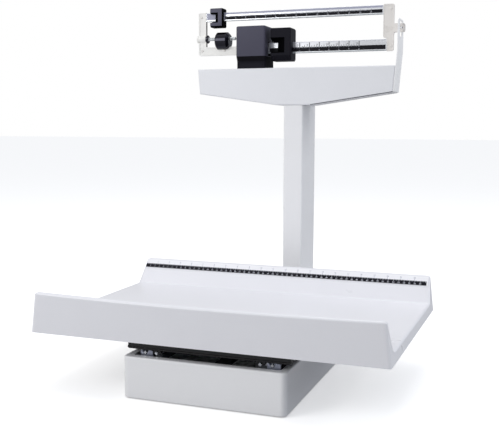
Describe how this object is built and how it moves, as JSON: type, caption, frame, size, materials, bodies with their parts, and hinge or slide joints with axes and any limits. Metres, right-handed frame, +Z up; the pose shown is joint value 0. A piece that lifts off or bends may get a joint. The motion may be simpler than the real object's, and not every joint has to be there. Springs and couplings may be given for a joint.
{
  "type": "tray beam scale",
  "caption": "Lever scale with a wide open tray on a box base, and a column carrying a graduated beam with two sliding poises, a zero screw and a length rule.",
  "frame": {"origin": "centre of the whole object's footprint, on the surface the feet stand on", "axes": "+X to the user's right along the beam, +Y from the user to the column, +Z up"},
  "size_m": [0.6039, 0.582, 0.6862],
  "materials": {
    "white_paint": "smooth semi-gloss powder coat",
    "black_paint": "satin black paint",
    "charcoal_plastic": "fine-grained matte moulding",
    "charcoal_paint": "satin charcoal paint on a casting",
    "nickel_casting": "fine-grained cast plate with a smooth rim",
    "bar_metal": "satin bar with printed graduations",
    "bright_steel": "bright plated steel",
    "grey_iron": "rough grey casting",
    "rubber": "matte",
    "rule_strip": "printed strip"
  },
  "bodies": {
    "stand": {"base_shell": "white_paint", "foot_front_left": "rubber", "foot_front_right": "rubber", "foot_rear_left": "rubber", "foot_rear_right": "rubber", "column": "white_paint", "column_socket": "grey_iron", "column_cap": "white_paint", "head_shell": "white_paint", "head_back_cover": "white_paint", "cover_screw_left": "bright_steel", "cover_screw_right": "bright_steel", "trig_loop": "white_paint", "fulcrum_cover": "charcoal_plastic", "fulcrum_stand": "grey_iron", "fulcrum_bearing_front": "bright_steel", "fulcrum_bearing_rear": "bright_steel", "transfer_hanger": "grey_iron", "bearing_stand_front_left": "bright_steel", "bearing_stand_front_right": "bright_steel", "bearing_stand_rear_left": "bright_steel", "bearing_stand_rear_right": "bright_steel", "main_fulcrum_stand": "grey_iron"},
    "platform": {"platform": "black_paint", "platform_leg_front_left": "black_paint", "platform_leg_front_right": "black_paint", "platform_leg_rear_left": "black_paint", "platform_leg_rear_right": "black_paint", "tray": "white_paint", "length_rule": "rule_strip"},
    "left_lever": {"left_lever": "grey_iron", "left_knives_front": "bright_steel", "left_knives_rear": "bright_steel"},
    "right_lever": {"right_lever": "grey_iron", "right_knives_front": "bright_steel", "right_knives_rear": "bright_steel"},
    "main_lever": {"main_lever": "grey_iron", "nose_bearing": "bright_steel", "main_fulcrum_knife": "bright_steel", "main_load_knife": "bright_steel"},
    "draft_rod": {"draft_rod": "bright_steel"},
    "transfer_lever": {"transfer_lever": "grey_iron", "transfer_fulcrum_knife": "bright_steel", "transfer_link_knife": "bright_steel", "transfer_load_knife": "bright_steel"},
    "beam_link": {"beam_link": "bright_steel"},
    "beam": {"beam_left_frame": "nickel_casting", "beam_upper_bar": "bar_metal", "beam_lower_bar": "bar_metal", "beam_right_plate": "nickel_casting", "beam_splice_plate": "bright_steel", "beam_fulcrum_knife": "bright_steel", "beam_load_knife": "bright_steel"},
    "zero_screw": {"zero_screw": "bright_steel", "zero_knob": "bright_steel", "zero_collar": "charcoal_plastic"},
    "counterweight": {"counterweight": "charcoal_paint"},
    "small_poise": {"small_poise": "charcoal_paint"},
    "big_poise": {"big_poise": "charcoal_paint", "big_poise_pawl": "bright_steel"}
  },
  "joints": [
    {"name": "beam_tilt", "type": "hinge", "parent": "stand", "child": "beam", "pos_m": [-0.085, 0.2223, 0.5945], "axis": [0, -1, 0], "range_deg": [-1.4, 0.8]},
    {"name": "link_slide", "type": "slide", "parent": "stand", "child": "beam_link", "axis": [0, 0, 1], "range_m": [-0.0004, 0.0007]},
    {"name": "transfer_swing", "type": "hinge", "parent": "stand", "child": "transfer_lever", "pos_m": [-0.15, 0.2223, 0.522], "axis": [0, 1, 0], "range_deg": [-0.9, 0.55]},
    {"name": "rod_slide", "type": "slide", "parent": "stand", "child": "draft_rod", "axis": [0, 0, 1], "range_m": [-0.0014, 0.0024]},
    {"name": "main_lever_swing", "type": "hinge", "parent": "stand", "child": "main_lever", "pos_m": [0, -0.23, 0.0377], "axis": [-1, 0, 0], "range_deg": [-0.31, 0.18]},
    {"name": "right_lever_swing", "type": "hinge", "parent": "stand", "child": "right_lever", "pos_m": [0.109, 0, 0.0716], "axis": [0, -1, 0], "range_deg": [-0.42, 0.24]},
    {"name": "left_lever_swing", "type": "hinge", "parent": "stand", "child": "left_lever", "pos_m": [-0.109, 0, 0.0716], "axis": [0, 1, 0], "range_deg": [-0.42, 0.24]},
    {"name": "platform_slide", "type": "slide", "parent": "stand", "child": "platform", "axis": [0, 0, 1], "range_m": [-0.0001, 0.00015]},
    {"name": "counterweight_slide", "type": "slide", "parent": "beam", "child": "counterweight", "axis": [1, 0, 0], "range_m": [-0.009, 0.009]},
    {"name": "zero_screw_turn", "type": "hinge", "parent": "beam", "child": "zero_screw", "pos_m": [-0.219, 0.2223, 0.6237], "axis": [1, 0, 0], "range_deg": [-1140, 1140]},
    {"name": "small_poise_slide", "type": "slide", "parent": "beam", "child": "small_poise", "axis": [1, 0, 0], "range_m": [-0.008, 0.33]},
    {"name": "big_poise_slide", "type": "slide", "parent": "beam", "child": "big_poise", "axis": [1, 0, 0], "range_m": [-0.003, 0.184]}
  ],
  "couplings": [
    {"joint": "link_slide", "follows": "beam_tilt", "m_per_rad": -0.025},
    {"joint": "transfer_swing", "follows": "beam_tilt", "ratio": 0.625},
    {"joint": "rod_slide", "follows": "beam_tilt", "m_per_rad": -0.09375},
    {"joint": "main_lever_swing", "follows": "beam_tilt", "ratio": 0.20727},
    {"joint": "right_lever_swing", "follows": "beam_tilt", "ratio": 0.29018},
    {"joint": "left_lever_swing", "follows": "beam_tilt", "ratio": 0.29018},
    {"joint": "platform_slide", "follows": "beam_tilt", "m_per_rad": -0.0058036},
    {"joint": "zero_screw_turn", "follows": "counterweight_slide", "rad_per_m": 2094.4}
  ]
}
